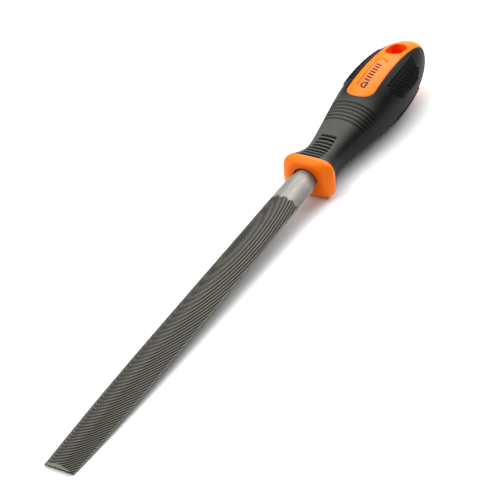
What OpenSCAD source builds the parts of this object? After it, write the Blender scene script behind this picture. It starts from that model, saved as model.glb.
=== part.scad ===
// Half-round hand file with a two-component handle.
// The blade lies along X with its tip towards -X, its flat side down and its crown up.
// The tang is driven into an orange core, and a soft black sleeve is moulded over the core.
// Along the file, positions are measured from the tip; along the handle, from its front face.

/* [Blade] */
// Length of the blade that shows, from the tip to the handle
blade_len = 208; // [150:1:260]
// Width at the widest section
blade_w = 16.8; // [13:0.1:22]
// Width at the tip
tip_w = 14.2; // [9:0.1:20]
// Width at the heel, before the blade narrows towards the handle
heel_w = 15.6; // [12:0.1:18]
// Width where the blade enters the handle
entry_w = 11.8; // [9:0.1:12]
// Length over which the heel narrows in front of the handle
taper_len = 6; // [4:0.5:9.5]
// Thickness from the flat side to the crown
blade_t = 5.5; // [4:0.1:7]
// Thickness at the tip
tip_t = 4.1; // [2.5:0.1:6]
// Distance from the tip to the widest section
widest_at = 70; // [50:1:100]
// Length of bare steel between the teeth and the handle
neck_len = 21; // [10:0.5:40]
// Distance that the teeth stand proud of the bare steel
tooth_rise = 0.15; // [0.05:0.01:0.3]
// Height of the blunt land along each edge
edge_land = 0.6; // [0.3:0.05:1]
// Bevel under the end face of the tip
tip_bevel = 1.0; // [0.4:0.1:1.6]

/* [Tang] */
// Depth of the heel inside the handle
heel_depth = 7; // [4:0.5:10]
// Length of the shoulder between the heel and the tang
shoulder_len = 6; // [4:0.5:10]
// Length of the tang behind the shoulder
tang_len = 52; // [30:1:60]
// Width of the tang at its root
tang_w = 8.4; // [6:0.1:10]
// Thickness of the tang at its root
tang_t = 4.2; // [3:0.1:5]
// Width of the tang at its end
tang_end_w = 3.2; // [2:0.1:5]
// Thickness of the tang at its end
tang_end_t = 2.4; // [1.5:0.1:3.5]

/* [Handle] */
// Overall length of the handle
handle_len = 122; // [110:1:150]
// Width of the collar
collar_w = 26.8; // [23:0.1:32]
// Height of the collar
collar_h = 20.8; // [18:0.1:26]
// Length of the collar along the handle
collar_len = 6.2; // [5:0.1:8]
// Depth of the rounding around the collar's front face
collar_round = 4.6; // [2:0.1:5]
// Width of the neck
neck_w = 19.1; // [17:0.1:22]
// Height of the neck
neck_h = 16.4; // [15:0.1:20]
// Distance from the front face to the narrowest part of the neck
neck_at = 20; // [17:0.5:24]
// Width of the belly
belly_w = 31.8; // [28:0.1:38]
// Height of the belly
belly_h = 29.4; // [25:0.1:36]
// Distance from the front face to the widest part of the belly
belly_at = 77; // [70:1:84]
// Height of the blade's flat side above the handle's axis at the collar
flat_above_axis = 0.6; // [0:0.1:1.5]
// Rise of the handle's axis from its front to its rear end
axis_rise = 1.5; // [0:0.1:3]

/* [Grip sleeve] */
// Thickness of the soft sleeve
sleeve_t = 2.2; // [1.6:0.1:3]
// Number of finger slots across the top of the neck
slot_count = 8; // [4:1:10]
// Distance from the front face to the last finger slot
slot_last_at = 25.8; // [24:0.1:28]
// Spacing of the finger slots
slot_pitch = 2.6; // [2:0.05:2.6]
// Width of a finger slot along the handle
slot_w = 1.1; // [0.6:0.1:1.5]
// Length of the last finger slot
slot_len = 8.3; // [6:0.1:10]
// Extra length of each finger slot nearer the collar
slot_growth = 0.35; // [0:0.05:0.5]
// Depth of a finger slot
slot_depth = 1.1; // [0.5:0.1:1.5]
// Number of ring grooves over the top of the handle
ring_count = 6; // [3:1:6]
// Distance from the front face to the first ring groove
ring_first_at = 38.4; // [36:0.1:42]
// Spacing of the ring grooves
ring_pitch = 2.36; // [2:0.02:2.6]
// Width of a ring groove
ring_w = 0.8; // [0.4:0.1:1.2]
// Depth of a ring groove
ring_depth = 0.6; // [0.3:0.1:1]
// Height of the three raised fields of grip bumps
bump_h = 0.35; // [0.2:0.05:0.6]
// Distance from the front face to the start of the bump fields
bump_at = 67; // [64:1:70]
// Length of the bump fields along the handle
bump_len = 31; // [24:1:34]
// Depth of the small flat under the belly, on which the handle rests
rest_flat = 0.3; // [0.1:0.05:0.35]

/* [Panel and hanging slot] */
// Width of the orange panel on top of the handle
panel_w = 14.6; // [12:0.1:18]
// Width of the panel at the rear end of the handle
panel_end_w = 13.2; // [12:0.1:16]
// Distance from the front face to the start of the panel
panel_at = 55.3; // [54:0.1:60]
// Distance from the front face to the start of the panel's rear part underneath
rear_panel_at = 88; // [86:0.5:91]
// Distance from the front face to the centre of the hanging slot
hang_at = 100.6; // [98:0.1:102]
// Width of the hanging slot
hang_w = 8.6; // [5:0.1:9]
// Length of the hanging slot along the handle
hang_len = 13.6; // [9:0.1:14]

/* [Fits] */
// Gap between the blade and its opening in the collar
heel_gap = 0.5; // [0.2:0.05:1]
// Gap between the tang and the walls of its socket
socket_gap = 0.35; // [0.3:0.05:0.6]
// Gap between the tang and the ribs that grip it
rib_gap = 0.04; // [0.02:0.01:0.1]
// Width of a rib
rib_w = 1.2; // [0.8:0.1:2]

/* [Hidden] */

STEEL = [0.36, 0.35, 0.32];
ORANGE = [1.00, 0.45, 0.06];
BLACK = [0.13, 0.13, 0.12];

arc_steps = 12;
blade_steps = 16;
ring_sides = 32;
flare_steps = 5;
swell_steps = 9;
nose_steps = 8;
last_nose_angle = 87;
far = 200;

collar_power = 3.0;
neck_power = 2.4;
belly_power = 2.25;
nose_power = 2.0;
front_scale = 0.74;

total_len = blade_len + handle_len;

// A cubic Bezier curve between the points a and d, with b and c as its handles.
function bezier(a, b, c, d, t) =
    pow(1 - t, 3) * a + 3 * pow(1 - t, 2) * t * b + 3 * (1 - t) * t * t * c + pow(t, 3) * d;

// One station of the handle: [distance from the front face, half width, half height, power].
collar_rear = [collar_len, collar_w / 2, collar_h / 2, collar_power];
neck_station = [neck_at, neck_w / 2, neck_h / 2, neck_power];
belly_station = [belly_at, belly_w / 2, belly_h / 2, belly_power];
flare_reach = (neck_at - collar_len) * 0.42;
swell_reach = (belly_at - neck_at) * 0.2;

function along(reach) = [reach, 0, 0, 0];

// The rounded front of the collar, from its flat front face back to its full width.
collar_steps = 6;
function collar_station(i) =
    let (a = 90 * i / collar_steps, s = front_scale + (1 - front_scale) * sin(a))
    [collar_round * (1 - cos(a)), collar_w / 2 * s, collar_h / 2 * s, collar_power];

function collar_stations() = concat([for (i = [0 : collar_steps]) collar_station(i)], [collar_rear]);

// The flare behind the collar, then the swell up to the belly.
function flare_station(t) =
    let (shrink = (collar_rear - neck_station) * 0.62)
    bezier(collar_rear, collar_rear - [-3.4, shrink[1], shrink[2], 0.3],
           neck_station - along(flare_reach), neck_station, t);

function swell_station(t) =
    bezier(neck_station, neck_station + along(swell_reach),
           belly_station - along(swell_reach * 1.7), belly_station, t);

// The rounded rear end, whose last ring is a small flat.
function nose_station(i, inset) =
    let (a = last_nose_angle * i / nose_steps,
         reach = (handle_len - inset - belly_at) / pow(sin(last_nose_angle), 2 / nose_power),
         s = pow(cos(a), 2 / nose_power))
    [belly_at + reach * pow(sin(a), 2 / nose_power), (belly_w / 2 - inset) * s, (belly_h / 2 - inset) * s,
     belly_power];

function body_stations(inset) = concat(
    [for (i = [0 : flare_steps - 1]) flare_station(i / flare_steps) - [0, inset, inset, 0]],
    [for (i = [0 : swell_steps - 1]) swell_station(i / swell_steps) - [0, inset, inset, 0]],
    [for (i = [0 : nose_steps]) nose_station(i, inset)]);

function axis_z(at) = axis_rise * at / handle_len - flat_above_axis;

// How far the handle's underside reaches below the blade's flat side.
function underside(at) =
    lookup(at, [for (s = body_stations(0)) [s[0], s[2] - axis_z(s[0])]])
    + (at >= bump_at && at <= bump_at + bump_len ? bump_h : 0);

// Put down, the file rests on the tip's lower edge and on a small flat under its belly.
rest_steps = [for (at = [neck_at : 0.5 : handle_len]) at];
rest_slope = max([for (at = rest_steps) (underside(at) - rest_flat) / (blade_len + at - tip_bevel)]);
function rest_depth(at) = rest_slope * (blade_len + at - tip_bevel);

// The height that the part needs under its flat side to stand on Z = 0.
rest_z = max([for (at = rest_steps) min(underside(at), rest_depth(at))]);

function signed_power(v, p) = sign(v) * pow(abs(v), p);

function ring_points(s) = [
    for (i = [0 : ring_sides - 1])
        let (a = 360 * i / ring_sides)
        [s[0], s[1] * signed_power(cos(a), 2 / s[3]), s[2] * signed_power(sin(a), 2 / s[3]) + axis_z(s[0])]];

// A closed solid through a list of rings that all have the same number of points.
module skin(rings) {
    count = len(rings[0]);
    last = len(rings) - 1;
    sides = [
        for (r = [0 : last - 1], i = [0 : count - 1], half = [0, 1])
            let (n = (i + 1) % count, p = r * count, q = p + count)
            half == 0 ? [p + i, q + n, p + n] : [p + i, q + i, q + n]];
    front = [for (i = [0 : count - 1]) i];
    back = [for (i = [count - 1 : -1 : 0]) last * count + i];
    polyhedron(points = [for (r = rings) each r], faces = concat([front], sides, [back]));
}

module handle_skin(stations) {
    skin([for (s = stations) ring_points(s)]);
}

// Puts a piece that is drawn from the tip into the part's own frame.
module in_frame() {
    translate([-total_len / 2, 0, rest_z]) children();
}

module in_handle() {
    in_frame() translate([blade_len, 0, 0]) children();
}

/* ---- file blade ---- */

function blade_width(at) =
    at < widest_at
        ? blade_w - (blade_w - tip_w) * pow(1 - at / widest_at, 2)
        : blade_w - (blade_w - heel_w) * pow(sin(90 * min(1, (at - widest_at) / (blade_len - widest_at))), 2);

function blade_height(at) =
    at < widest_at ? blade_t - (blade_t - tip_t) * pow(1 - at / widest_at, 1.5) : blade_t;

// A half-round section, grown by a gap all round: flat side, two lands and the crown's arc.
function half_round(at, w, t, gap) =
    let (rise = t - edge_land,
         radius = (w * w / 4 + rise * rise) / (2 * rise),
         reach = asin((w / 2 + gap) / (radius + gap)))
    concat(
        [[at, -w / 2 - gap, -gap], [at, w / 2 + gap, -gap]],
        [for (i = [0 : arc_steps])
            let (a = reach * (1 - 2 * i / arc_steps))
            [at, (radius + gap) * sin(a), t - radius + (radius + gap) * cos(a)]]);

heel_end = blade_len + heel_depth;

tooth_end = blade_len - neck_len;

// The envelope of the toothed part, then the bare steel of the neck and heel.
module blade_body() {
    toothed = [
        for (i = [0 : blade_steps])
            let (at = tooth_end * i / blade_steps)
            half_round(at, blade_width(at), blade_height(at), 0)];
    bare = [
        for (at = [tooth_end + tooth_rise, blade_len - taper_len, blade_len, heel_end])
            let (w = at < blade_len ? blade_width(at) : entry_w)
            half_round(at, w, blade_height(at), -tooth_rise)];
    skin(concat(toothed, bare));
}

shoulder_inset = 0.2;
tang_root = heel_end + shoulder_len;
tang_end = tang_root + tang_len;
tang_root_z = tang_t / 2 + 0.6;
tang_end_z = axis_z(tang_end - blade_len) + 1;

// A thin plate across the file, with its middle at the height z.
module plate(at, w, t, z) {
    translate([at, -w / 2, z - t / 2]) cube([0.01, w, t]);
}

// The shoulder, which starts a little inside the heel, and the tapering tang behind it.
module tang_bar(gap) {
    hull() {
        skin([for (at = [heel_end - 2, heel_end])
            half_round(at, entry_w, blade_t, gap - tooth_rise - shoulder_inset)]);
        plate(tang_root, tang_w + 2 * gap, tang_t + 2 * gap, tang_root_z);
    }
    hull() {
        plate(tang_root - 1, tang_w + 2 * gap, tang_t + 2 * gap, tang_root_z);
        plate(tang_end + gap, tang_end_w + 2 * gap, tang_end_t + 2 * gap, tang_end_z);
    }
}

module file_blade() {
    bevel_cut = tip_bevel * sqrt(2);
    color(STEEL) in_frame() {
        difference() {
            union() {
                blade_body();
                tang_bar(0);
            }
            rotate([0, 45, 0]) cube([bevel_cut, far, bevel_cut], center = true);
        }
    }
}

/* ---- orange core ---- */

// The plan of a round-ended panel that starts at a given distance and runs past the rear end.
module panel_plan(start) {
    hull() {
        translate([start + panel_w / 2, 0]) circle(d = panel_w, $fn = 40);
        translate([handle_len, 0]) circle(d = panel_end_w, $fn = 40);
    }
}

module panel_zone() {
    linear_extrude(height = far) panel_plan(panel_at);
    translate([0, 0, -far]) linear_extrude(height = far) panel_plan(rear_panel_at);
}

module hang_slot() {
    end_at = (hang_len - hang_w) / 2;
    hull() for (side = [-1, 1])
        translate([hang_at + side * end_at, 0, -far / 2]) cylinder(d = hang_w, h = far, $fn = 48);
}

module core_under_sleeve() {
    handle_skin([for (s = body_stations(sleeve_t)) if (s[0] > collar_len - 3) s]);
}

// Two pairs of ribs, above and below the tang, that crush a little as it is driven in.
rib_h = socket_gap - rib_gap + 0.2;

module socket_ribs() {
    for (at = [tang_root + 6, tang_root + 26], side = [-1, 1])
        translate([-blade_len, 0, 0]) hull() for (dx = [0, 14])
            let (t = (at + dx - tang_root) / tang_len,
                 z = tang_root_z + (tang_end_z - tang_root_z) * t,
                 half = (tang_t + (tang_end_t - tang_t) * t) / 2 + rib_gap)
            translate([at + dx, 0, z + side * (half + rib_h / 2)]) cube([0.5, rib_w, rib_h], center = true);
}

module handle_core() {
    color(ORANGE) in_handle() {
        difference() {
            union() {
                handle_skin(collar_stations());
                core_under_sleeve();
                intersection() {
                    handle_skin(body_stations(0));
                    panel_zone();
                }
            }
            hang_slot();
            skin([for (at = [-1, heel_depth]) half_round(at, entry_w, blade_t, heel_gap - tooth_rise)]);
            translate([-blade_len, 0, 0]) tang_bar(socket_gap);
        }
        intersection() {
            socket_ribs();
            core_under_sleeve();
        }
    }
}

/* ---- soft sleeve ---- */

function handle_top(at) =
    lookup(at, [for (s = body_stations(0)) [s[0], s[2] + axis_z(s[0])]]);

module finger_slots() {
    for (i = [0 : slot_count - 1])
        let (at = slot_last_at - slot_pitch * i,
             half = (slot_len + slot_growth * i - slot_w) / 2,
             floor_z = handle_top(at) - slot_depth)
        hull() for (side = [-1, 1])
            translate([at, side * half, floor_z]) cylinder(d = slot_w, h = far, $fn = 24);
}

module ring_grooves() {
    for (i = [0 : ring_count - 1])
        let (at = ring_first_at + ring_pitch * i)
        intersection() {
            translate([at - ring_w / 2, -far / 2, axis_z(at) + 3]) cube([ring_w, far, far]);
            difference() {
                translate([at - 5, -far / 2, -far / 2]) cube([10, far, far]);
                handle_skin(body_stations(ring_depth));
            }
        }
}

// The raised fields, one on each flank and one underneath, that carry the grip bumps.
module bump_fields() {
    corner = 3;
    intersection() {
        handle_skin(body_stations(-bump_h));
        union() {
            for (side = [-1, 1])
                rotate([90 * side, 0, 0]) translate([0, 0, 6])
                    linear_extrude(height = far) field_plan(side * 8.4, 8.2, corner);
            translate([0, 0, -far]) linear_extrude(height = far - 5) field_plan(0, 28.6, corner);
        }
    }
}

module field_plan(middle, w, corner) {
    hull() for (x = [bump_at + corner, bump_at + bump_len - corner], y = [-1, 1])
        translate([x, middle + y * (w / 2 - corner)]) circle(r = corner, $fn = 24);
}

module rest_cut() {
    translate([tip_bevel - blade_len, 0, 0]) rotate([0, atan(rest_slope), 0])
        translate([0, -far / 2, -far]) cube([3 * far, far, far]);
}

module grip_sleeve() {
    color(BLACK) in_handle() difference() {
        union() {
            handle_skin(body_stations(0));
            bump_fields();
        }
        core_under_sleeve();
        translate([collar_len - far, -far / 2, -far / 2]) cube(far);
        panel_zone();
        finger_slots();
        ring_grooves();
        rest_cut();
    }
}

file_blade();
handle_core();
grip_sleeve();
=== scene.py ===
"""Half-round file: a toothed steel blade in a two-component handle.

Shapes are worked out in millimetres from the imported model's boxes and turned into metres
where each mesh is made. Along the blade, x is measured from the tip; along the handle,
"at" is measured from the collar's front face; heights z are above the blade's flat side.
"""
import math

import bpy
import numpy as np
from mathutils import Matrix, Vector


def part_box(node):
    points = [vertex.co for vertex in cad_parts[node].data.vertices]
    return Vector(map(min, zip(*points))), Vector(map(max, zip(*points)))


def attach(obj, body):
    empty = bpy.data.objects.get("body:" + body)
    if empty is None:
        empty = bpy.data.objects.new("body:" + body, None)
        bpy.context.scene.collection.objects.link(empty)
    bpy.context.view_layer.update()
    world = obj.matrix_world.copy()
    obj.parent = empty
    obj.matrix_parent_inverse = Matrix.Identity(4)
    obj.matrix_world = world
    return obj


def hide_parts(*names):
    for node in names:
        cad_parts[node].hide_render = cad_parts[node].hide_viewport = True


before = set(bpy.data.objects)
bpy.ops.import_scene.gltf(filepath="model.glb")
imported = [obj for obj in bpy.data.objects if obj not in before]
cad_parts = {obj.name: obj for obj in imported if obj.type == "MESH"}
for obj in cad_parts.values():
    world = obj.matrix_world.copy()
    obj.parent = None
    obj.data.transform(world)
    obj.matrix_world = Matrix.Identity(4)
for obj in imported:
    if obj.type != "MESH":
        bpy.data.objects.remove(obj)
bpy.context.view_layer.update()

MM = 0.001

blade_low = np.array(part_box("file_blade")[0]) / MM
core_low, core_high = [np.array(corner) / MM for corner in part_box("handle_core")]
TIP_X = blade_low[0]
FLAT_Z = blade_low[2]
FRONT_X = core_low[0]
HANDLE_LEN = core_high[0] - FRONT_X
BLADE_LEN = FRONT_X - TIP_X

# ---- blade ----
BLADE_W, TIP_W, HEEL_W, ENTRY_W = 16.8, 14.2, 15.6, 11.8
TAPER_LEN = 6.0
BLADE_T, TIP_T = 5.5, 4.1
WIDEST_AT = 70.0
EDGE_LAND = 0.6
TIP_BEVEL, BEVEL_RISE = 1.0, 3.0
TIP_FOOT = 0.6
NECK_LEN = 21.0
TOOTH_RISE = 0.15
HEEL_DEPTH = 7.0
ROW_DEPTH = 0.36
CUT_DEPTH = 0.24
FLAT_DEPTH = 0.3

# ---- handle stations: distance from the front face, half width, half height, power ----
COLLAR_ROUND = 4.6
COLLAR_REAR = np.array([6.2, 13.4, 10.4, 3.8])
NECK = np.array([20.0, 9.55, 8.2, 2.4])
BELLY = np.array([77.0, 15.9, 14.7, 2.25])
NOSE_POWER = 2.0
AXIS_RISE = 1.5
FLAT_ABOVE_AXIS = 0.6
SLEEVE_T = 2.2
REST_FLAT = 0.3

# ---- panel and hanging slot ----
PANEL_AT = 55.3
REAR_PANEL_AT = 88.0
PANEL_HALF, PANEL_END_HALF = 7.3, 6.2
HANG_AT, HANG_HALF, HANG_STRAIGHT = 100.6, 4.3, 2.5
RIM_ROUND = 0.8


def smoothstep(low, high, value):
    """0 at low and 1 at high, with a smooth change between them. low may be the larger of the two."""
    t = np.clip((value - low) / (high - low), 0.0, 1.0)
    return t * t * (3.0 - 2.0 * t)


def bezier(a, b, c, d, t):
    """Points on a cubic curve from a to d."""
    return (1 - t) ** 3 * a + 3 * (1 - t) ** 2 * t * b + 3 * (1 - t) * t ** 2 * c + t ** 3 * d


def to_frame(points, from_x):
    """Points in millimetres from the tip or the handle's front face, as metres in the row's frame."""
    return (np.asarray(points, float) + [from_x, 0.0, FLAT_Z]) * MM


def make_piece(name, points, faces, material, slot, stands_for, sharp=32.0, **values):
    """A mesh piece from points in metres. values are per-point numbers that the material reads."""
    mesh = bpy.data.meshes.new(name)
    mesh.from_pydata(np.asarray(points).tolist(), [], faces)
    mesh.polygons.foreach_set("use_smooth", [True] * len(mesh.polygons))
    for key, numbers in values.items():
        attribute = mesh.attributes.new(key, "FLOAT", "POINT")
        attribute.data.foreach_set("value", np.asarray(numbers, float))
    mesh.materials.append(material)
    mesh.validate()
    mesh.update()
    mesh.set_sharp_from_angle(angle=math.radians(sharp))
    piece = bpy.data.objects.new(name, mesh)
    bpy.context.scene.collection.objects.link(piece)
    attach(piece, "root")
    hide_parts(stands_for)
    return piece


def ring_faces(rings, count, first=0):
    """Quads between rings of count points each, closed around and facing outwards."""
    r, i = np.meshgrid(np.arange(rings - 1), np.arange(count), indexing="ij")
    a = first + r * count + i
    b = first + r * count + (i + 1) % count
    return np.stack([a, b, b + count, a + count], axis=-1).reshape(-1, 4).tolist()


# ---------------------------------------------------------------- materials


def new_material(name):
    """A material with its nodes, its links and its shader."""
    material = bpy.data.materials.new(name)
    material.use_nodes = True
    tree = material.node_tree
    return material, tree.nodes, tree.links, tree.nodes["Principled BSDF"]


def add_noise(nodes, links, scale, detail=3.0, stretch=(1, 1, 1)):
    """Noise in the piece's own coordinates, in metres."""
    place = nodes.new("ShaderNodeTexCoord")
    mapping = nodes.new("ShaderNodeMapping")
    mapping.inputs["Scale"].default_value = stretch
    noise = nodes.new("ShaderNodeTexNoise")
    noise.inputs["Scale"].default_value = scale
    noise.inputs["Detail"].default_value = detail
    links.new(place.outputs["Object"], mapping.inputs["Vector"])
    links.new(mapping.outputs["Vector"], noise.inputs["Vector"])
    return noise.outputs["Fac"]


def add_ramp(nodes, links, source, stops):
    """A colour from a value, through stops of (position, colour)."""
    ramp = nodes.new("ShaderNodeValToRGB")
    elements = ramp.color_ramp.elements
    for index, (position, colour) in enumerate(stops):
        element = elements[index] if index < 2 else elements.new(position)
        element.position = position
        element.color = (*colour, 1.0)
    links.new(source, ramp.inputs["Fac"])
    return ramp.outputs["Color"]


def add_range(nodes, links, source, low, high):
    """A value from 0 to 1, spread from low to high."""
    span = nodes.new("ShaderNodeMapRange")
    span.inputs["To Min"].default_value = low
    span.inputs["To Max"].default_value = high
    links.new(source, span.inputs["Value"])
    return span.outputs["Result"]


def add_mix(nodes, links, factor, first, second):
    """A colour between two. Each input is a socket or a fixed value."""
    mix = nodes.new("ShaderNodeMix")
    mix.data_type = "RGBA"
    for key, value in (("Factor", factor), ("A", first), ("B", second)):
        socket = next(s for s in mix.inputs if s.name == key and s.enabled)
        if isinstance(value, bpy.types.NodeSocket):
            links.new(value, socket)
        else:
            socket.default_value = value
    return next(s for s in mix.outputs if s.enabled)


def add_attribute(nodes, name):
    """A number stored on the mesh's points."""
    reader = nodes.new("ShaderNodeAttribute")
    reader.attribute_name = name
    return reader.outputs["Fac"]


def add_bump(nodes, links, shader, layers):
    """A chain of bumps: (height, strength, distance in metres) each."""
    normal = None
    for height, strength, distance in layers:
        bump = nodes.new("ShaderNodeBump")
        bump.inputs["Strength"].default_value = strength
        bump.inputs["Distance"].default_value = distance
        links.new(height, bump.inputs["Height"])
        if normal is not None:
            links.new(normal, bump.inputs["Normal"])
        normal = bump.outputs["Normal"]
    links.new(normal, shader.inputs["Normal"])


def steel_material():
    """Dark cut teeth with painted shade in their gullets, on the toothed edge lands and on the bevel under
    the tip, and lighter blasted steel where the blade is bare.
    """
    material, nodes, links, shader = new_material("file_steel")
    mottle = add_noise(nodes, links, 260.0, 5.0)
    grain = add_noise(nodes, links, 2600.0, 4.0)
    streak = add_noise(nodes, links, 420.0, 4.0, (0.12, 1.0, 1.0))
    gullet = add_attribute(nodes, "gullet")
    bare = add_attribute(nodes, "bare")
    # Painted shade: the teeth's colour runs from pale steel at their edges to near black as the gullet value
    # rises.
    tooth = add_ramp(nodes, links, gullet, [
        (0.0, (0.34, 0.325, 0.275)), (0.28, (0.13, 0.123, 0.10)), (0.6, (0.022, 0.021, 0.017)),
        (1.0, (0.004, 0.004, 0.003))])
    tooth = add_mix(nodes, links, add_range(nodes, links, mottle, 0.0, 0.3), tooth, (0.06, 0.056, 0.042, 1.0))
    plain = add_ramp(nodes, links, streak, [(0.25, (0.22, 0.213, 0.186)), (0.75, (0.36, 0.35, 0.312))])
    plain = add_mix(nodes, links, add_range(nodes, links, grain, 0.0, 0.35), plain, (0.22, 0.215, 0.19, 1.0))
    plain = add_mix(nodes, links, add_range(nodes, links, mottle, 0.0, 0.4), plain, (0.15, 0.147, 0.125, 1.0))
    colour = add_mix(nodes, links, bare, tooth, plain)
    links.new(colour, shader.inputs["Base Color"])
    links.new(add_range(nodes, links, grain, 0.44, 0.64), shader.inputs["Roughness"])
    shader.inputs["Metallic"].default_value = 0.6
    add_bump(nodes, links, shader, [(grain, 0.35, 0.00006), (streak, 0.15, 0.00008)])
    return material


def orange_material():
    """Glossy moulded plastic with a faint orange peel, with painted shade round the collar's opening, in the
    panel's groove and on the body under the sleeve, and a red-tinted painted shade deeper in the hanging
    slot.
    """
    material, nodes, links, shader = new_material("core_plastic")
    cloud = add_noise(nodes, links, 60.0, 3.0)
    peel = add_noise(nodes, links, 1500.0, 2.0)
    deep = add_attribute(nodes, "deep")
    skin = add_ramp(nodes, links, cloud, [(0.3, (0.90, 0.160, 0.001)), (0.7, (0.95, 0.195, 0.002))])
    # Painted shade: a darker orange where the shade value rises, round the opening, in the groove and under
    # the sleeve.
    colour = add_mix(nodes, links, deep, skin, (0.55, 0.04, 0.0, 1.0))
    # Painted shade tinted red, as by light bouncing inside the hanging slot: darker and redder deeper in.
    colour = add_mix(nodes, links, add_attribute(nodes, "slot_wall"), colour, (1.0, 0.022, 0.0, 1.0))
    links.new(colour, shader.inputs["Base Color"])
    links.new(add_range(nodes, links, cloud, 0.24, 0.34), shader.inputs["Roughness"])
    shader.inputs["Specular IOR Level"].default_value = 0.12
    shader.inputs["Subsurface Weight"].default_value = 0.05
    shader.inputs["Subsurface Radius"].default_value = (0.004, 0.0015, 0.0006)
    shader.inputs["Subsurface Scale"].default_value = 0.6
    add_bump(nodes, links, shader, [(peel, 0.12, 0.00004)])
    return material


def rubber_material():
    """Satin black soft plastic with a fine moulded grain, a painted highlight that makes the top of the neck
    paler, and matt grip bumps and slot bottoms made darker with painted shade.
    """
    material, nodes, links, shader = new_material("grip_rubber")
    cloud = add_noise(nodes, links, 70.0, 4.0)
    grain = add_noise(nodes, links, 2200.0, 3.0)
    pad = add_attribute(nodes, "pad")
    skin = add_ramp(nodes, links, cloud, [(0.3, (0.0025, 0.0024, 0.0019)), (0.7, (0.0050, 0.0048, 0.0040))])
    # Painted highlight: over the top of the neck the black turns a paler grey, in noisy patches.
    handled = add_range(nodes, links, cloud, 0.6, 1.0)
    rubbed = nodes.new("ShaderNodeMath")
    rubbed.operation = "MULTIPLY"
    links.new(add_attribute(nodes, "rubbed"), rubbed.inputs[0])
    links.new(handled, rubbed.inputs[1])
    skin = add_mix(nodes, links, rubbed.outputs["Value"], skin, (0.085, 0.085, 0.077, 1.0))
    # Painted shade: the bumps and the slot bottoms are made darker than the skin; their higher roughness
    # below is the real matt finish.
    colour = add_mix(nodes, links, pad, skin, (0.0015, 0.0015, 0.0013, 1.0))
    links.new(colour, shader.inputs["Base Color"])
    satin = add_range(nodes, links, grain, 0.40, 0.54)
    matt = nodes.new("ShaderNodeMath")
    matt.operation = "MULTIPLY_ADD"
    matt.inputs[1].default_value = 0.3
    links.new(pad, matt.inputs[0])
    links.new(satin, matt.inputs[2])
    links.new(matt.outputs["Value"], shader.inputs["Roughness"])
    shader.inputs["Specular IOR Level"].default_value = 0.09
    add_bump(nodes, links, shader, [(grain, 0.3, 0.00005)])
    return material


def ink_material():
    """Dark grey printing ink, slightly uneven."""
    material, nodes, links, shader = new_material("print_ink")
    cloud = add_noise(nodes, links, 900.0, 4.0)
    colour = add_ramp(nodes, links, cloud, [(0.3, (0.030, 0.022, 0.022)), (0.7, (0.060, 0.042, 0.036))])
    links.new(colour, shader.inputs["Base Color"])
    links.new(add_range(nodes, links, cloud, 0.6, 0.8), shader.inputs["Roughness"])
    shader.inputs["Specular IOR Level"].default_value = 0.1
    add_bump(nodes, links, shader, [(cloud, 0.1, 0.00002)])
    return material


def floor_material():
    """Matt white paper, very slightly uneven."""
    material, nodes, links, shader = new_material("floor_white")
    cloud = add_noise(nodes, links, 3.0, 2.0)
    colour = add_ramp(nodes, links, cloud, [(0.0, (0.93, 0.93, 0.93)), (1.0, (0.95, 0.95, 0.95))])
    links.new(colour, shader.inputs["Base Color"])
    shader.inputs["Roughness"].default_value = 0.9
    shader.inputs["Specular IOR Level"].default_value = 0.1
    return material


# ---------------------------------------------------------------- blade

TOOTH_END = BLADE_LEN - NECK_LEN
CROWN_POINTS = 119
LAND_POINTS = 3
FLAT_POINTS = 45
BLADE_STEP = 0.2
FINE_PAST_TEETH, BARE_RINGS = 3.0, 30

# ---- rows of teeth: turns per mm along and across, and where the rows turn back on each flank ----
ROW_ALONG, ROW_ALONG_FALL, ROW_ACROSS = 0.575, 0.0019, 0.30
NEAR_FROM, NEAR_BLEND, NEAR_TURN, NEAR_TURN_FALL = -2.6, 0.9, 0.72, 0.0013
FAR_FROM, FAR_BLEND, FAR_TURN = 3.2, 0.8, 0.72
ROW_STEEP = 0.35
# Cross cuts: turns per mm along and across, and the share of a tooth that its steep side takes.
CROWN_CROSS_CUT = (1.02, -0.62, 0.3)
FLAT_UP_CUT = (0.86, 0.36, 0.25)
FLAT_CROSS_CUT = (0.62, -0.6, 0.3)


def blade_width(x):
    """The blade's width: narrower to the tip, a little narrower to the heel, then the short taper."""
    front = BLADE_W - (BLADE_W - TIP_W) * np.clip(1 - x / WIDEST_AT, 0, 1) ** 2
    rearward = np.clip((x - WIDEST_AT) / (BLADE_LEN - WIDEST_AT), 0, 1)
    back = (BLADE_W - HEEL_W) * np.sin(np.pi / 2 * rearward) ** 2
    taper = (HEEL_W - ENTRY_W) * np.clip((x - BLADE_LEN + TAPER_LEN) / TAPER_LEN, 0, 1)
    return front - back - taper


def blade_height(x):
    """The blade's thickness, from the flat side to the top of the crown."""
    return BLADE_T - (BLADE_T - TIP_T) * np.clip(1 - x / WIDEST_AT, 0, 1) ** 1.5


def sawtooth(phase, steep):
    """A tooth's profile, 1 at its edge and 0 in its gullet, steep on the side that cuts."""
    p = phase - np.floor(phase)
    return np.where(p < steep, p / steep, (1 - p) / (1 - steep))


def straight_cut(x, across, cut):
    """One straight set of cuts, as a tooth profile."""
    turns_along, turns_across, steep = cut
    return sawtooth(turns_along * x + turns_across * across, steep)


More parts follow.
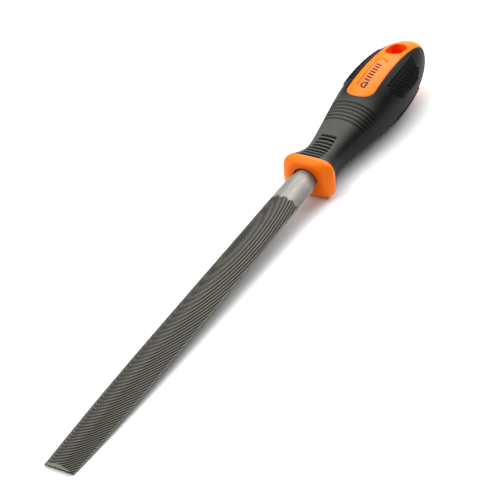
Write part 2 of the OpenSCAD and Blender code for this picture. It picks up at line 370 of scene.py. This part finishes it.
def crown_rows(x, across):
    """The rows of teeth over the crown: their phase, and how clearly they stand out.

    The rate along the blade falls with x and reaches zero before the heel, so rows there close into
    ovals. This follows how the rows run in the main view and isn't how a real file is cut.
    """
    near = np.logaddexp(0, (NEAR_FROM - across) / NEAR_BLEND)
    far = np.logaddexp(0, (across - FAR_FROM) / FAR_BLEND)
    near_turn = NEAR_TURN - NEAR_TURN_FALL * x
    phase = ROW_ALONG * x - ROW_ALONG_FALL * x * x + ROW_ACROSS * across
    phase = phase - near_turn * NEAR_BLEND * near - FAR_TURN * FAR_BLEND * far
    along = ROW_ALONG - 2 * ROW_ALONG_FALL * x
    near_part = near_turn / (1 + np.exp((across - NEAR_FROM) / NEAR_BLEND))
    far_part = FAR_TURN / (1 + np.exp((FAR_FROM - across) / FAR_BLEND))
    sideways = ROW_ACROSS + near_part - far_part
    return phase, smoothstep(0.3, 0.85, np.hypot(along, sideways))


def heel_line(across):
    """Where the teeth stop, with a scallop for each band of cuts."""
    scallop = 1.5 * np.abs(np.sin(np.pi * (across + 7.8) / 4.1))
    return TOOTH_END - 1.2 + scallop + 0.35 * np.sin(9.0 * across)


def blade_piece(material):
    """The whole blade: toothed crown, edges and flat side, then the bare neck and heel."""
    heel_end = BLADE_LEN + HEEL_DEPTH
    fine_end = TOOTH_END + FINE_PAST_TEETH
    toothed_x = np.arange(0, fine_end, BLADE_STEP)
    bare_x = np.linspace(fine_end + BLADE_STEP, heel_end, BARE_RINGS)
    x = np.concatenate([toothed_x, bare_x])[:, None]
    w, t = blade_width(x), blade_height(x)
    rise = t - EDGE_LAND
    radius = (w * w / 4 + rise * rise) / (2 * rise)
    reach = np.arcsin(w / 2 / radius)
    turn = np.linspace(1, -1, CROWN_POINTS)[None, :]
    angle = reach * turn
    crown_y, crown_z = radius * np.sin(angle), t - radius + radius * np.cos(angle)
    down = np.linspace(1, 0, LAND_POINTS + 1)[None, 1:]
    side = np.ones_like(down)
    land_y, land_z = -w / 2 * side, EDGE_LAND * down + 0 * w
    flat_s = np.linspace(-1, 1, FLAT_POINTS)[None, 1:]
    flat_y, flat_z = w / 2 * flat_s, np.zeros_like(w / 2 * flat_s)
    back_y, back_z = -land_y[:, :-1], land_z[:, :-1][:, ::-1]
    y = np.concatenate([crown_y, land_y, flat_y, back_y], axis=1)
    z = np.concatenate([crown_z, land_z, flat_z, back_z], axis=1)
    count = y.shape[1]
    xx = np.broadcast_to(x, y.shape)
    is_crown = np.zeros_like(y)
    is_crown[:, :CROWN_POINTS] = 1
    is_flat = np.zeros_like(y)
    flat_from = CROWN_POINTS + LAND_POINTS - 1
    is_flat[:, flat_from:flat_from + FLAT_POINTS] = 1

    across = np.zeros_like(y)
    across[:, :CROWN_POINTS] = radius * angle
    phase, clear = crown_rows(xx, across)
    rows = sawtooth(phase, ROW_STEEP)
    cuts = straight_cut(xx, across, CROWN_CROSS_CUT)
    crown_drop = ROW_DEPTH * (0.25 + 0.75 * clear) * (1 - rows) + CUT_DEPTH * (1.2 - clear) * (1 - cuts)
    up_cut = straight_cut(xx, y, FLAT_UP_CUT)
    cross_cut = straight_cut(xx, y, FLAT_CROSS_CUT)
    flat_drop = FLAT_DEPTH * (1 - up_cut) + CUT_DEPTH * (1 - cross_cut)

    span = np.where(is_crown > 0, across, y)
    toothed = smoothstep(0.35, -0.35, xx - heel_line(span))
    edge = smoothstep(0.0, 0.15, np.abs(np.abs(y) - w / 2)) * np.maximum(is_crown, is_flat)
    is_land = 1 - np.maximum(is_crown, is_flat)
    drop = is_crown * crown_drop + is_flat * flat_drop
    drop = toothed * edge * drop + (1 - toothed) * TOOTH_RISE

    normal_y = np.where(is_crown > 0, np.sin(across / radius), np.where(is_flat > 0, 0, np.sign(y)))
    normal_z = np.where(is_crown > 0, np.cos(across / radius), np.where(is_flat > 0, -1, 0))
    y = y - normal_y * drop
    z = z - normal_z * drop
    bevel_z = BEVEL_RISE * (TIP_FOOT - xx)
    under_tip = (z <= bevel_z) * 1.0
    z = np.maximum(z, bevel_z)
    # Painted shade: the gullet value grows with the depth of the cuts, is set high on the toothed edge lands
    # and full on the bevel under the tip.
    gullet = toothed * np.clip(drop / (ROW_DEPTH * 0.9), 0, 1)
    gullet = np.maximum(gullet, 0.75 * is_land * toothed)
    bare = 1 - toothed
    worn_tip = smoothstep(0.7, 0.0, xx) * 0.3
    bare = np.maximum(bare, worn_tip) * (1 - under_tip)
    gullet = np.maximum(gullet, under_tip)

    points = np.stack([xx, y, z], axis=-1).reshape(-1, 3)
    rings = len(x)
    faces = ring_faces(rings, count)
    gullet, bare = gullet.ravel(), bare.ravel()
    # The end faces get a fixed mix: a little painted shade and about half bare steel.
    for ring, step in ((0, -1), (rings - 1, 1)):
        start = len(points)
        points = np.concatenate([points, points[ring * count:(ring + 1) * count]])
        gullet = np.concatenate([gullet, np.full(count, 0.1)])
        bare = np.concatenate([bare, np.full(count, 0.45)])
        faces.append([start + i for i in range(count)][::step])
    return make_piece("file_blade_toothed", to_frame(points, TIP_X), faces, material, "file_steel",
                      "file_blade", gullet=gullet, bare=bare)


def tang_piece(material):
    """The shoulder and the tapering tang inside the handle."""
    heel_end = BLADE_LEN + HEEL_DEPTH
    chamfer = 0.35
    # Each station is x, half width, lowest z and highest z.
    stations = [
        (heel_end - 2, 5.4, 0.3, 3.2), (heel_end, 5.3, 0.3, 3.2), (heel_end + 2, 4.8, 0.4, 4.2),
        (heel_end + 4, 4.4, 0.5, 4.7), (heel_end + 6, 4.2, 0.6, 4.8), (heel_end + 20, 3.5, 0.65, 4.4),
        (heel_end + 40, 2.4, 0.75, 3.8), (heel_end + 57, 1.7, 0.85, 3.15), (heel_end + 57.9, 1.2, 1.1, 2.9)]
    points = []
    for x, half, low, high in stations:
        points += [(x, half, low + chamfer), (x, half, high - chamfer), (x, half - chamfer, high),
                   (x, chamfer - half, high), (x, -half, high - chamfer), (x, -half, low + chamfer),
                   (x, chamfer - half, low), (x, half - chamfer, low)]
    faces = ring_faces(len(stations), 8)
    faces += [list(range(8))[::-1], [len(points) - 8 + i for i in range(8)]]
    return make_piece("file_tang", to_frame(points, TIP_X), faces, material, "file_steel", "file_blade",
                      gullet=np.zeros(len(points)), bare=np.ones(len(points)))


# ---------------------------------------------------------------- handle surface


def handle_profile():
    """Finely spaced stations from behind the collar to the rear end."""
    t = np.linspace(0, 1, 240)[:, None]
    shrink = (COLLAR_REAR - NECK) * 0.62
    flare_reach = np.array([(NECK[0] - COLLAR_REAR[0]) * 0.42, 0, 0, 0])
    swell_reach = np.array([(BELLY[0] - NECK[0]) * 0.2, 0, 0, 0])
    leave = COLLAR_REAR - np.array([-3.4, shrink[1], shrink[2], 0.3])
    flare = bezier(COLLAR_REAR, leave, NECK - flare_reach, NECK, t)
    swell = bezier(NECK, NECK + swell_reach, BELLY - 1.7 * swell_reach, BELLY, t)
    a = np.linspace(0, np.pi / 2 - 0.004, 400)[:, None]
    out, shrunk = np.sin(a) ** (2 / NOSE_POWER), np.cos(a) ** (2 / NOSE_POWER)
    nose = np.concatenate([BELLY[0] + (HANDLE_LEN - BELLY[0]) * out, BELLY[1] * shrunk, BELLY[2] * shrunk,
                           BELLY[3] + 0 * a], axis=1)
    return np.concatenate([flare[:-1], swell[:-1], nose])


PROFILE = handle_profile()


def axis_z(at):
    """The height of the handle's axis."""
    return AXIS_RISE * at / HANDLE_LEN - FLAT_ABOVE_AXIS


def station(at):
    """Half width, half height and power of the handle's section."""
    return [np.interp(at, PROFILE[:, 0], PROFILE[:, k]) for k in (1, 2, 3)]


def top_z(at, y, side=1):
    """The height of the handle's surface over a point in plan, on top or underneath."""
    half_w, half_h, power = station(at)
    share = np.clip(1 - np.abs(y / half_w) ** power, 0, 1)
    return axis_z(at) + side * half_h * share ** (1 / power)


def oval_radius(theta, half_w, half_h, power):
    """Distance from the handle's axis to its section in each direction."""
    sideways, upwards = np.abs(np.cos(theta)) / half_w, np.abs(np.sin(theta)) / half_h
    return (sideways ** power + upwards ** power) ** (-1 / power)


def surface_grid(spacing, around, start=0.0, inset=0.0, fine=None):
    """Rings of points over the handle behind the collar, evenly spaced along its profile.

    fine gives a closer spacing, and how far from the start it runs.
    """
    steps = np.hypot(np.diff(PROFILE[:, 0]), np.diff(PROFILE[:, 1]))
    run = np.concatenate([[0], np.cumsum(steps)])
    wanted = np.arange(start, run[-1], spacing)
    if fine:
        close, reach = fine
        wanted = np.concatenate([np.arange(start, reach, close), wanted[wanted >= reach]])
    rows = np.stack([np.interp(wanted, run, PROFILE[:, k]) for k in range(4)], axis=1)
    theta = np.linspace(0, 2 * np.pi, around, endpoint=False)[None, :]
    at, half_w, half_h, power = [rows[:, k][:, None] for k in range(4)]
    half_w, half_h = np.maximum(half_w - inset, 0.05), np.maximum(half_h - inset, 0.05)
    r = oval_radius(theta, half_w, half_h, power)
    x = np.broadcast_to(at, r.shape)
    return np.stack([x, r * np.cos(theta), r * np.sin(theta) + axis_z(x)], axis=-1)


def grid_normals(grid):
    """Unit normals of a grid that is closed around its second axis."""
    along = np.gradient(grid, axis=0)
    around = np.roll(grid, -1, axis=1) - np.roll(grid, 1, axis=1)
    normal = np.cross(around, along)
    return normal / np.maximum(np.linalg.norm(normal, axis=-1, keepdims=True), 1e-9)


def panel_edge(at, y, z):
    """Signed distance in plan from the panel's outline: negative over the panel."""
    start = np.where(z > axis_z(at), PANEL_AT, REAR_PANEL_AT)
    taper = (at - PANEL_AT - PANEL_HALF) / (HANDLE_LEN - PANEL_AT - PANEL_HALF)
    half = PANEL_HALF + (PANEL_END_HALF - PANEL_HALF) * np.clip(taper, 0, 1)
    ahead = np.maximum(start + half - at, 0)
    squareness = 2.35
    return (ahead ** squareness + np.abs(y) ** squareness) ** (1 / squareness) - half


def hang_edge(at, y):
    """Signed distance in plan from the hanging slot: negative inside it."""
    along = np.maximum(np.abs(at - HANG_AT) - HANG_STRAIGHT, 0)
    return np.hypot(along, y) - HANG_HALF


def trim(points, faces, keep, values):
    """Keeps the faces where keep is over zero, cuts those that cross it, and lists the cut edges."""
    points, keep = np.asarray(points), np.asarray(keep)
    faces = np.asarray(faces)
    inside = keep[faces] > 0
    whole = faces[inside.all(axis=1)].tolist()
    mixed = faces[inside.any(axis=1) & ~inside.all(axis=1)]
    extra, extra_values, cuts, rim = [], [], {}, []
    for face in mixed.tolist():
        ring, crossings = [], []
        for a, b in zip(face, face[1:] + face[:1]):
            if keep[a] > 0:
                ring.append(a)
            if (keep[a] > 0) != (keep[b] > 0):
                key = (min(a, b), max(a, b))
                if key not in cuts:
                    t = keep[key[0]] / (keep[key[0]] - keep[key[1]])
                    cuts[key] = len(points) + len(extra)
                    extra.append(points[key[0]] + t * (points[key[1]] - points[key[0]]))
                    extra_values.append(values[key[0]] + t * (values[key[1]] - values[key[0]]))
                ring.append(cuts[key])
                crossings.append((cuts[key], keep[a] > 0))
        if len(ring) > 2:
            whole.append(ring)
        if len(crossings) == 2:
            leaving = next(c for c, was_in in crossings if was_in)
            coming = next(c for c, was_in in crossings if not was_in)
            rim.append((leaving, coming))
    if extra:
        points = np.concatenate([points, np.array(extra)])
        values = np.concatenate([values, np.array(extra_values)])
    used, whole, rim = compact(whole, rim)
    return points[used], whole, rim, values[used]


def compact(faces, rim):
    """Renumbers faces and rim edges so that only the points in use are left."""
    used = sorted({i for face in faces for i in face} | {i for edge in rim for i in edge})
    new = {old: index for index, old in enumerate(used)}
    return used, [[new[i] for i in face] for face in faces], [(new[a], new[b]) for a, b in rim]


def add_rim_wall(points, faces, rim, values, depth):
    """A wall from the cut edge down towards the handle's axis."""
    edge_points = sorted({i for edge in rim for i in edge})
    lower = {}
    new_points, new_values = [], []
    for i in edge_points:
        x, y, z = points[i]
        inward = np.array([0, -y, axis_z(x) - z])
        inward = inward / np.linalg.norm(inward)
        lower[i] = len(points) + len(new_points)
        new_points.append(points[i] + depth * inward)
        new_values.append(values[i])
    walls = [[a, b, lower[b], lower[a]][::-1] for a, b in rim]
    points = np.concatenate([points, np.array(new_points)])
    values = np.concatenate([values, np.array(new_values)])
    return points, faces + walls, values


# ---------------------------------------------------------------- soft sleeve

UNDER_FIELD, UNDER_FIELD_H = (67.0, 98.0), 0.35


def rest_slope():
    """The slope of the plane that the file rests on, on its tip and a small flat under its belly."""
    at = PROFILE[:, 0]
    raised = UNDER_FIELD_H * ((at >= UNDER_FIELD[0]) & (at <= UNDER_FIELD[1]))
    return np.max((PROFILE[:, 2] - axis_z(at) + raised - REST_FLAT) / (BLADE_LEN + at - TIP_BEVEL))


REST_SLOPE = rest_slope()
SLOT_COUNT, SLOT_LAST_AT, SLOT_PITCH = 8, 25.8, 2.62
SLOT_HALF_W, SLOT_HALF_LEN, SLOT_GROWTH, SLOT_DEPTH = 0.66, 4.15, 0.17, 1.2
RING_COUNT, RING_FIRST_AT, RING_PITCH, RING_DEPTH = 6, 38.4, 2.36, 0.5
BUMP_PITCH, BUMP_HEIGHT, BUMP_HALF = 2.53, 0.5, 0.76
# Columns of bumps on a flank: degrees above the handle's side, first row, number of rows.
FLANK_COLUMNS = [(48, 70.8, 12), (41, 69.7, 12), (34.5, 68.5, 12), (28.5, 69.9, 11), (22, 71.4, 11),
                 (15.5, 72.8, 10), (9, 75.4, 8)]
UNDER_COLUMNS, UNDER_STEP, UNDER_FIRST_AT, UNDER_ROWS = 9, 7.3, 69.0, 11


def finger_slots(at, y, z):
    """How far the surface is sunk by the slots across the top of the neck."""
    sunk = np.zeros_like(at)
    for i in range(SLOT_COUNT):
        from_x = np.abs(at - (SLOT_LAST_AT - SLOT_PITCH * i)) - SLOT_HALF_W
        from_y = np.abs(y) - (SLOT_HALF_LEN + SLOT_GROWTH * i)
        outside = np.hypot(np.maximum(from_x + 0.2, 0), np.maximum(from_y + 0.2, 0)) - 0.2
        sunk = np.maximum(sunk, smoothstep(0.14, -0.14, outside))
    return sunk * SLOT_DEPTH * (z > axis_z(at))


def ring_grooves(at, rise_deg):
    """How far the surface is sunk by the rings, which fade and bend back down the flanks."""
    bend = 2.6 * np.clip((62 - rise_deg) / 62, 0, 1) ** 2
    phase = (at - bend - RING_FIRST_AT) / RING_PITCH
    wave = (0.5 + 0.5 * np.cos(2 * np.pi * phase)) ** 2.2
    inside = (phase > -0.5) & (phase < RING_COUNT - 0.5)
    return RING_DEPTH * wave * inside * smoothstep(4, 26, rise_deg)


def grip_bumps(at, rise_deg, radius):
    """Height of the small square grip bumps on both flanks and underneath."""
    height = np.zeros_like(at)
    columns = [(angle, first, rows, 0.7) for angle, first, rows in FLANK_COLUMNS]
    for k in range(UNDER_COLUMNS + 1):
        shift = BUMP_PITCH / 2 * (k % 2)
        columns.append((-90 + UNDER_STEP * k, UNDER_FIRST_AT + shift, UNDER_ROWS, 0.6))
    for angle, first, rows, half in columns:
        row = np.clip(np.round((at - first) / BUMP_PITCH), 0, rows - 1)
        from_x = np.abs(at - first - BUMP_PITCH * row)
        from_c = np.abs(np.radians(rise_deg - angle)) * radius
        reach = np.maximum(from_x / BUMP_HALF, from_c / half)
        height = np.maximum(height, smoothstep(1.12, 0.82, reach))
    return height


def sleeve_piece(material):
    """The soft sleeve, with its slots, rings and bumps, cut away over the panel."""
    grid = surface_grid(0.27, 340, fine=(0.16, 30.0))
    normal = grid_normals(grid)
    at, y, z = grid[..., 0], grid[..., 1], grid[..., 2]
    rise = z - axis_z(at)
    rise_deg = np.degrees(np.arctan2(rise, np.abs(y)))
    radius = np.hypot(y, rise)
    edge = panel_edge(at, y, z)
    bumps = grip_bumps(at, rise_deg, radius) * smoothstep(0.6, 1.4, edge)
    slots = finger_slots(at, y, z)
    seam = 0.35 * smoothstep(COLLAR_REAR[0] + 0.9, COLLAR_REAR[0], at)
    border = 0.22 * smoothstep(0.55, 0.0, edge)
    height = BUMP_HEIGHT * bumps - slots - ring_grooves(at, rise_deg) - seam - border
    points = (grid + normal * height[..., None]).reshape(-1, 3)
    rest_plane = -REST_SLOPE * (BLADE_LEN + points[:, 0] - TIP_BEVEL)
    points[:, 2] = np.maximum(points[:, 2], np.maximum(rest_plane, -FLAT_Z))
    points[:, 1] = np.clip(points[:, 1], -BELLY[1], BELLY[1])
    # The bumps and the slot bottoms: matt, and darker as painted shade.
    pad = np.maximum(bumps, smoothstep(0.1, 0.5, slots)).reshape(-1, 1)
    # Painted highlight: strongest on the top of the neck, fading down the flanks, towards the rear and in the
    # ring grooves.
    rubbed = smoothstep(22, 62, rise_deg) * smoothstep(64, 44, at)
    rubbed = (rubbed * (1 - 0.8 * ring_grooves(at, rise_deg) / RING_DEPTH)).reshape(-1, 1)
    faces = ring_faces(grid.shape[0], grid.shape[1])
    points, faces, rim, looks = trim(points, faces, edge.ravel(), np.hstack([pad, rubbed]))
    points, faces, looks = add_rim_wall(points, faces, rim, looks, 1.2)
    return make_piece("grip_sleeve_textured", to_frame(points, FRONT_X), [f[::-1] for f in faces], material,
                      "grip_rubber", "grip_sleeve", sharp=60, pad=looks[:, 0], rubbed=looks[:, 1])


# ---------------------------------------------------------------- orange core


def stadium(grow, count):
    """The hanging slot's outline in plan, grown by a distance."""
    a = np.linspace(0, 2 * np.pi, count, endpoint=False)
    along = (HANG_HALF + grow) * np.cos(a)
    return HANG_AT + along + HANG_STRAIGHT * np.sign(np.round(along, 6)), (HANG_HALF + grow) * np.sin(a)


def hang_wall():
    """The slot's rounded rims and the wall between them."""
    count, rim_steps = 96, 7
    rings = []
    for side, order in ((1, 1), (-1, -1)):
        part = []
        for k in range(rim_steps):
            a = np.pi / 2 * k / (rim_steps - 1)
            at, y = stadium(RIM_ROUND * (1 - np.sin(a)), count)
            z = top_z(at, y, side) - side * RIM_ROUND * (1 - np.cos(a))
            part.append(np.stack([at, y, z], axis=1))
        rings += part[::order]
    upper, lower = rings[rim_steps - 1], rings[rim_steps]
    between = [upper + (lower - upper) * share for share in np.linspace(0, 1, 8)[1:-1]]
    rings = rings[:rim_steps] + between + rings[rim_steps:]
    points = np.concatenate(rings)
    # Painted shade tinted red: none at the rims, growing to full partway into the slot.
    inside = np.concatenate([np.full(count, min(1.0, max(i - 3, 0) / 6)) for i in range(len(rings))])
    return points, ring_faces(len(rings), count), np.zeros_like(inside), inside


GROOVE_DEPTH = 0.45


def panel_groove(at, y):
    """The fine groove that runs beside the mark and hooks round its end, 1 at its bottom."""
    straight_from, bend_at, line_y, middle_y, bulge = 61.0, 84.4, 3.4, 0.3, 2.4
    middle_at = (straight_from + bend_at) / 2
    straight = np.hypot(np.maximum(np.abs(at - middle_at) - (bend_at - middle_at), 0), y - line_y)
    reach = line_y - middle_y
    bend = np.abs(np.hypot((at - bend_at) / bulge, (y - middle_y) / reach) - 1) * (bulge + reach) / 2
    nearest = np.minimum(straight, np.where((at > bend_at) & (y > middle_y - 0.97 * reach), bend, 9.0))
    return smoothstep(0.8, 0.2, nearest) * smoothstep(60.5, 64.5, at)


def panel_part():
    """The orange panel that shows through the sleeve on top, round the end and underneath."""
    grid = surface_grid(0.36, 330, start=40.0)
    normal = grid_normals(grid)
    at, y, z = grid[..., 0], grid[..., 1], grid[..., 2]
    edge = panel_edge(at, y, z)
    border = 0.25 * smoothstep(-0.6, 0.0, edge)
    on_top = z > axis_z(at)
    groove = panel_groove(at, y) * on_top
    points = (grid - normal * (border + GROOVE_DEPTH * groove)[..., None]).reshape(-1, 3)
    rings, count = grid.shape[:2]
    quads = ring_faces(rings, count)
    cap = [(rings - 1) * count + i for i in range(count)]
    # Painted shade along the groove, darkest at its bottom.
    deep = 0.8 * groove.reshape(-1, 1)
    last = len(points) - 1
    keep = np.minimum(-edge, hang_edge(at, y) - RIM_ROUND).ravel()
    middle = points[cap].mean(axis=0)
    points = np.concatenate([points, middle[None, :]])
    deep = np.concatenate([deep, [[0.0]]])
    keep = np.concatenate([keep, [1.0]])
    fan = [[cap[i], cap[(i + 1) % len(cap)], last + 1, last + 1] for i in range(len(cap))]
    points, faces, rim, deep = trim(points, quads + fan, keep, deep)
    faces = [list(dict.fromkeys(f)) for f in faces]
    return points, [f for f in faces if len(f) > 2], deep[:, 0]


def d_outline(theta, grow):
    """Distance from the handle's axis to the collar's D-shaped opening in each direction."""
    w = ENTRY_W + 2 * grow
    rise = BLADE_T - EDGE_LAND
    radius = (ENTRY_W ** 2 / 4 + rise ** 2) / (2 * rise) + grow
    centre_z = BLADE_T - (radius - grow)
    low = -grow
    origin_z = BLADE_T * 0.42
    c, s = np.cos(theta), np.sin(theta)
    to_side = (w / 2) / np.maximum(np.abs(c), 1e-6)
    to_low = np.where(s < 0, (low - origin_z) / np.minimum(s, -1e-6), 1e6)
    b = s * (origin_z - centre_z)
    to_arc = -b + np.sqrt(np.maximum(b * b - (origin_z - centre_z) ** 2 + radius ** 2, 0))
    return np.minimum(np.minimum(to_side, to_low), to_arc), origin_z


FACE_SETBACK = 1.8
FACE_AT, LIP = 0.12, 0.7
LIP_STEPS, FACE_STEPS = 6, 24
DOME_POWER = 2.5
OPENING_GAP = 0.38
# The collar's back: distance from the front face, and the share of the full outline.
COLLAR_BACK = ((5.3, 1.0), (5.8, 0.995), (6.05, 0.985), (6.2, 0.965), (6.3, 0.93), (6.3, 0.8))


def collar_part():
    """The domed collar, with its rounded opening round the blade."""
    count = 240
    theta = np.linspace(0, 2 * np.pi, count, endpoint=False)
    hole_r, origin_z = d_outline(theta, OPENING_GAP)
    hole = np.stack([hole_r * np.cos(theta), origin_z + hole_r * np.sin(theta)], axis=1)
    _, half_w, half_h, power = COLLAR_REAR
    centre = axis_z(0.0)
    r = oval_radius(theta, half_w, half_h, power)
    outer = np.stack([r * np.cos(theta), centre + r * np.sin(theta)], axis=1)
    blur = np.exp(-0.5 * (np.arange(-30, 31) / 11.0) ** 2)
    soft_r = np.convolve(np.tile(hole_r, 3), blur / blur.sum(), "same")[count:2 * count] + 1.4
    soft = np.stack([soft_r * np.cos(theta), origin_z + soft_r * np.sin(theta)], axis=1)
    rings = []
    for depth in (HEEL_DEPTH, 3.0):
        rings.append(np.column_stack([np.full(count, depth), hole]))
    outward = (outer - hole) / np.linalg.norm(outer - hole, axis=1, keepdims=True)
    for k in range(LIP_STEPS):
        a = np.pi / 2 * k / (LIP_STEPS - 1)
        ring = hole + outward * LIP * (1 - np.cos(a))
        rings.append(np.column_stack([np.full(count, LIP * (1 - np.sin(a)) + FACE_AT), ring]))
    lip_end = rings[-1][:, 1:]
    upper = smoothstep(-0.5, 1.0, (outer[:, 1] - centre) / half_h)
    for k in range(1, FACE_STEPS + 1):
        t = k / FACE_STEPS
        share = math.sin(math.pi / 2 * t) if t < 1 else 1.0
        dome = 1 - (1 - share ** DOME_POWER) ** (1 / DOME_POWER)
        at = FACE_AT + (COLLAR_ROUND - FACE_AT) * dome + FACE_SETBACK * upper * share * (1 - dome)
        settle = min(share / 0.35, 1.0)
        inner = lip_end + (soft - lip_end) * settle * settle * (3 - 2 * settle)
        rings.append(np.column_stack([at, inner + (outer - inner) * share]))
    for at, shrink in COLLAR_BACK:
        ring = np.array([0, centre]) + (outer - [0, centre]) * shrink
        rings.append(np.column_stack([np.full(count, at), ring]))
    points = np.concatenate(rings)
    # Painted shade: darkest in the opening, fading over the lip and the first rings of the dome.
    fade = [0.55 * (1 - k / 14) ** 2 for k in range(14)]
    shade = [1.0, 1.0] + [0.9 - 0.07 * k for k in range(6)] + fade
    deep = np.concatenate([np.full(count, v) for v in shade + [0.0] * (len(rings) - len(shade))])
    return points, ring_faces(len(rings), count), deep


def inner_part():
    """The core's body under the sleeve."""
    grid = surface_grid(2.0, 72, inset=SLEEVE_T)
    points = grid.reshape(-1, 3)
    faces = ring_faces(grid.shape[0], grid.shape[1])
    keep = hang_edge(points[:, 0], points[:, 1])
    # Painted shade: the body under the sleeve is coloured all in the darker orange.
    points, faces, rim, deep = trim(points, faces, keep, np.ones((len(points), 1)))
    return points, faces, deep[:, 0]


def core_piece(material):
    """The collar, the panel, the slot's wall and the body under the sleeve as one mesh."""
    points, faces, deep, slot_wall = [], [], [], []
    parts = ((collar_part(), False), (panel_part(), True), (hang_wall(), False), (inner_part(), True))
    for part, flip in parts:
        start = sum(len(p) for p in points)
        points.append(part[0])
        faces += [[start + i for i in (face[::-1] if flip else face)] for face in part[1]]
        deep.append(part[2])
        slot_wall.append(part[3] if len(part) > 3 else 0 * part[2])
    return make_piece("handle_core_moulded", to_frame(np.concatenate(points), FRONT_X), faces, material,
                      "core_plastic", "handle_core", sharp=50, deep=np.concatenate(deep),
                      slot_wall=np.concatenate(slot_wall))


# ---------------------------------------------------------------- printed mark

MARK_FROM, MARK_TO = 61.5, 82.5
MARK_MIDDLE, MARK_HALF = -0.2, 1.65
INK_T = 0.03
SECTION_HALF, SECTION_RISE, SECTION_LINE_HALF = 2.0, 2.4, 0.5
CUT_LINES, CUT_LEAN, CUT_LINE_HALF = 7, 0.55, 0.58


def strip(points, half):
    """A ribbon in plan along a list of points, as a list of quads."""
    points = np.asarray(points, float)
    direction = np.gradient(points, axis=0)
    direction /= np.linalg.norm(direction, axis=1, keepdims=True)
    side = np.stack([-direction[:, 1], direction[:, 0]], axis=1) * half
    left, right = points + side, points - side
    return [[left[i], right[i], right[i + 1], left[i + 1]] for i in range(len(points) - 1)]


def mark_piece(material):
    """A plain pictogram: the file's half-round section and a band of cut lines."""
    quads = []
    a = np.linspace(0, np.pi, 25)
    middle_at = MARK_FROM + 2.2
    base_y = MARK_MIDDLE - MARK_HALF + 0.3
    arc = np.stack([middle_at + SECTION_HALF * np.cos(a), base_y + SECTION_RISE * np.sin(a)], axis=1)
    quads += strip(arc, SECTION_LINE_HALF)
    base_at = np.linspace(middle_at - 2.3, middle_at + 2.3, 12)
    quads += strip(np.stack([base_at, np.full(12, base_y)], axis=1), SECTION_LINE_HALF)
    for i in range(CUT_LINES):
        at = MARK_FROM + 6.2 + i * (MARK_TO - MARK_FROM - 7.6) / (CUT_LINES - 1)
        t = np.linspace(-1, 1, 8)
        line = np.stack([at + CUT_LEAN * t, MARK_MIDDLE + MARK_HALF * t], axis=1)
        quads += strip(line, CUT_LINE_HALF)
    points, faces = [], []
    for quad in quads:
        start = len(points)
        points += [(at, y, float(top_z(at, y)) + INK_T) for at, y in quad]
        faces.append([start, start + 1, start + 2, start + 3][::-1])
    return make_piece("profile_mark", to_frame(points, FRONT_X), faces, material, "core_plastic",
                      "handle_core")


# ---------------------------------------------------------------- stage

CAMERA_FROM_TIP = (-0.3765, -0.3662, 0.4954)
LOOK_AZIMUTH, LOOK_DOWN, ROLL = 34.59, 37.67, 8.33
LENS_MM, SENSOR_MM = 129.6, 36.0


def place_camera():
    """The camera, near the tip and above it, looking along the file towards the handle."""
    azimuth, down = math.radians(LOOK_AZIMUTH), math.radians(LOOK_DOWN)
    look = Vector((math.cos(down) * math.cos(azimuth), math.cos(down) * math.sin(azimuth), -math.sin(down)))
    level = look.cross(Vector((0, 0, 1))).normalized()
    upright = level.cross(look)
    roll = math.radians(ROLL)
    right = level * math.cos(roll) - upright * math.sin(roll)
    up = right.cross(look)
    data = bpy.data.cameras.new("camera")
    data.lens = LENS_MM
    data.sensor_width = SENSOR_MM
    data.clip_end = 50.0
    camera = bpy.data.objects.new("camera", data)
    bpy.context.scene.collection.objects.link(camera)
    rotation = Matrix((right, up, -look)).transposed().to_4x4()
    tip = Vector((TIP_X * MM, 0, FLAT_Z * MM))
    camera.matrix_world = Matrix.Translation(tip + Vector(CAMERA_FROM_TIP)) @ rotation
    bpy.context.scene.camera = camera


FLOOR_GAP = 0.05
FLOOR_HALF = 6.0


def add_floor(material):
    """A wide pale floor in the plane through the tip's lower edge and the belly, just clear of both."""
    drop = math.atan(REST_SLOPE)
    mesh = bpy.data.meshes.new("floor")
    corners = [(FLOOR_HALF * a, FLOOR_HALF * b, 0) for a, b in ((-1, -1), (1, -1), (1, 1), (-1, 1))]
    mesh.from_pydata(corners, [], [(0, 1, 2, 3)])
    mesh.materials.append(material)
    floor = bpy.data.objects.new("floor", mesh)
    bpy.context.scene.collection.objects.link(floor)
    foot = ((TIP_X + TIP_BEVEL) * MM, 0, (FLAT_Z - FLOOR_GAP) * MM)
    floor.matrix_world = Matrix.Translation(foot) @ Matrix.Rotation(drop, 4, "Y")


def add_light(name, place, aim, size, power):
    """A rectangular area light at a place, turned towards its aim."""
    data = bpy.data.lights.new(name, "AREA")
    data.shape = "RECTANGLE"
    data.size, data.size_y = size
    data.energy = power
    light = bpy.data.objects.new(name, data)
    bpy.context.scene.collection.objects.link(light)
    light.location = place
    light.rotation_euler = (Vector(aim) - Vector(place)).to_track_quat("-Z", "Y").to_euler()


def set_lights():
    """Soft studio light: a key on the far side, a box behind the handle, a top box and a pale surround."""
    aim = (0.0, 0.0, 0.02)
    add_light("key", (-0.35, 0.85, 1.15), aim, (1.8, 1.4), 20.0)
    add_light("rear", (1.0, -0.05, 0.85), aim, (1.5, 0.6), 17.0)
    add_light("top", (0.1, 0.25, 1.3), aim, (1.2, 0.9), 8.0)
    world = bpy.data.worlds.new("studio")
    world.use_nodes = True
    background = world.node_tree.nodes["Background"]
    background.inputs["Color"].default_value = (1.0, 1.0, 1.0, 1.0)
    background.inputs["Strength"].default_value = 0.3
    bpy.context.scene.world = world
    bpy.context.scene.view_settings.view_transform = "Standard"


place_camera()
set_lights()
add_floor(floor_material())
steel = steel_material()
blade_piece(steel)
tang_piece(steel)
sleeve_piece(rubber_material())
core_piece(orange_material())
mark_piece(ink_material())
